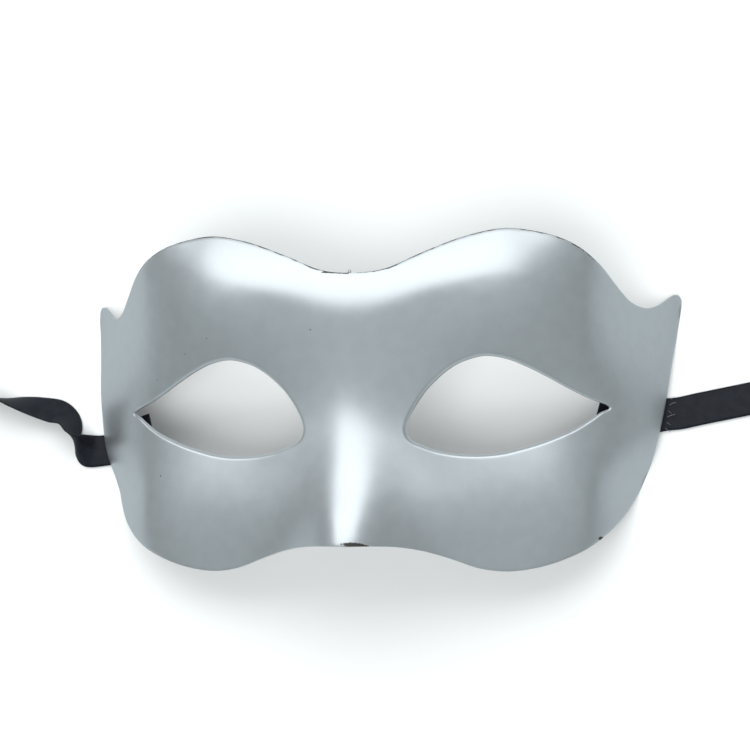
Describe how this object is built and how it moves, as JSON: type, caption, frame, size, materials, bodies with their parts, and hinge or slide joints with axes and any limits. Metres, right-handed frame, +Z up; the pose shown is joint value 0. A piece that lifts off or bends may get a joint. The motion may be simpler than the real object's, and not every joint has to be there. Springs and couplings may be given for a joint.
{
  "type": "masquerade half mask",
  "caption": "Moulded plastic masquerade half mask with almond eye openings, pointed temples, a nose ridge and ribbon ties.",
  "frame": {"origin": "on the table, under the middle of the shell as it rests on its side rims", "axes": "+X across the face towards the picture's right, +Y towards the brow, +Z up, out of the face"},
  "size_m": [0.2467, 0.0932, 0.051],
  "materials": {
    "silver_paint": "satin metallic silver paint on moulded plastic",
    "black_satin": "black satin ribbon"
  },
  "bodies": {
    "root": {"mask_shell": "silver_paint", "ribbon_left": "black_satin", "ribbon_right": "black_satin"}
  },
  "joints": []
}
